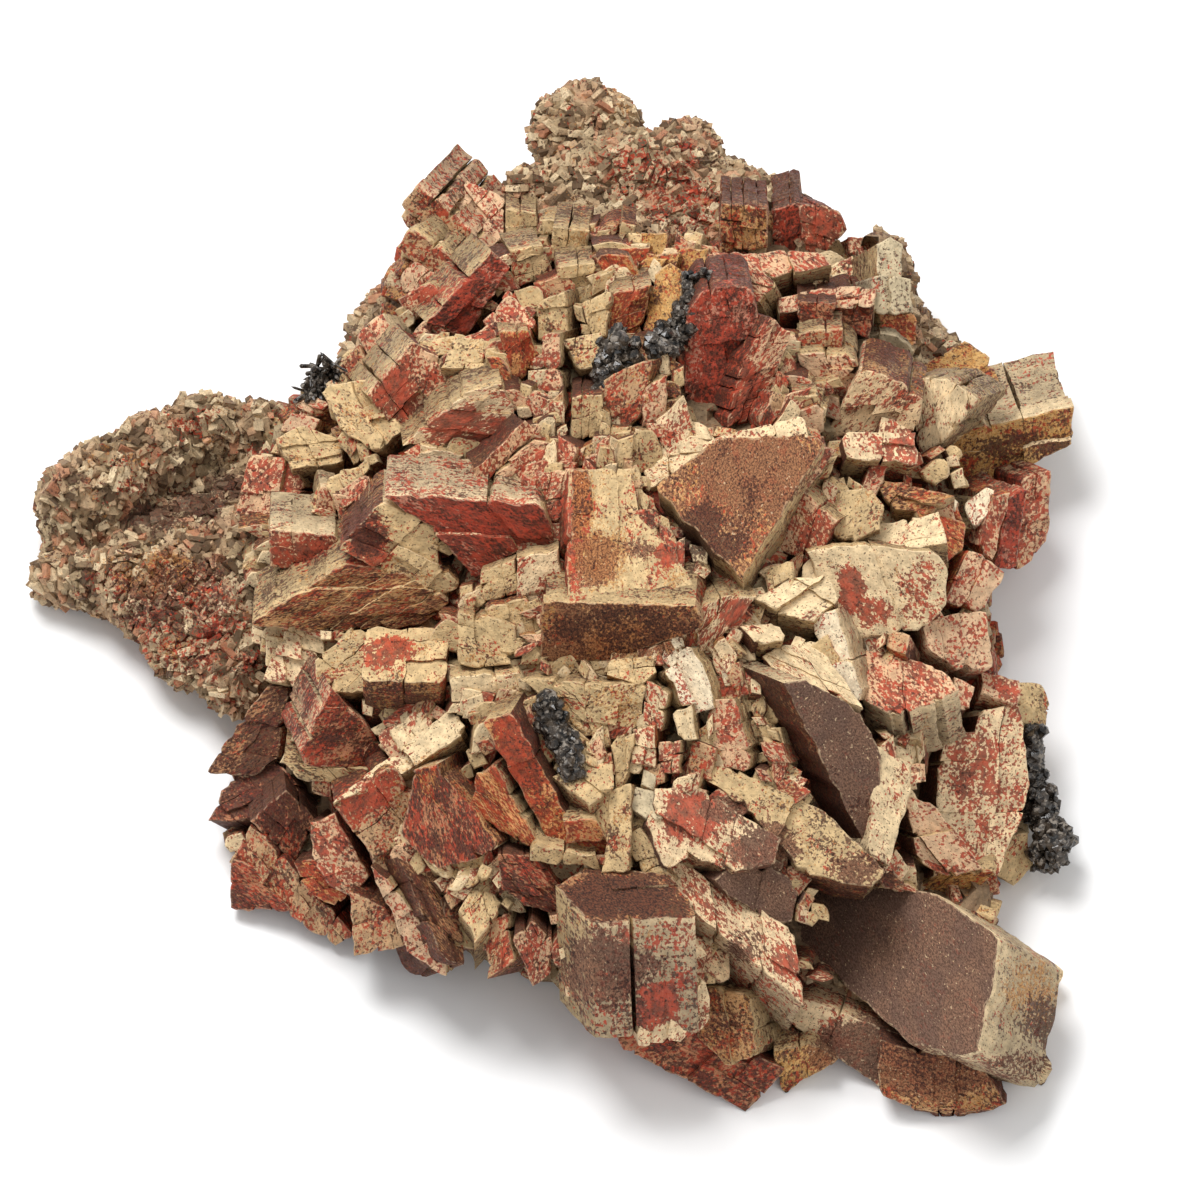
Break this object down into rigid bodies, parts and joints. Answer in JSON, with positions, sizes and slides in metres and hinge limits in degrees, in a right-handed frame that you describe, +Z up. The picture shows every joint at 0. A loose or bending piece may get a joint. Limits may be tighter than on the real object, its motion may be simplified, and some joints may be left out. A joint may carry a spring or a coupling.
{
  "type": "microcline on matrix",
  "caption": "Loose mineral specimen: blocky cream and brick-red microcline crystals heaped over granular feldspar rock, with tufts of dark smoky quartz.",
  "frame": {"origin": "on the flat underside, under the middle of the specimen", "axes": "+Z up; -Y towards the front, where the largest crystals lie; -X towards the left rock arm"},
  "size_m": [0.3193, 0.348, 0.1038],
  "materials": {
    "matrix": "rough granular tan feldspar rock",
    "microcline": "cream feldspar with brick-red iron stain, matt to silky cleavage faces",
    "smoky_quartz": "glassy dark grey to black"
  },
  "bodies": {
    "root": {"matrix": "matrix", "microcline_crystals": "microcline", "smoky_quartz_vein": "smoky_quartz", "smoky_quartz_right": "smoky_quartz", "smoky_quartz_centre": "smoky_quartz", "smoky_quartz_left": "smoky_quartz"}
  },
  "joints": []
}
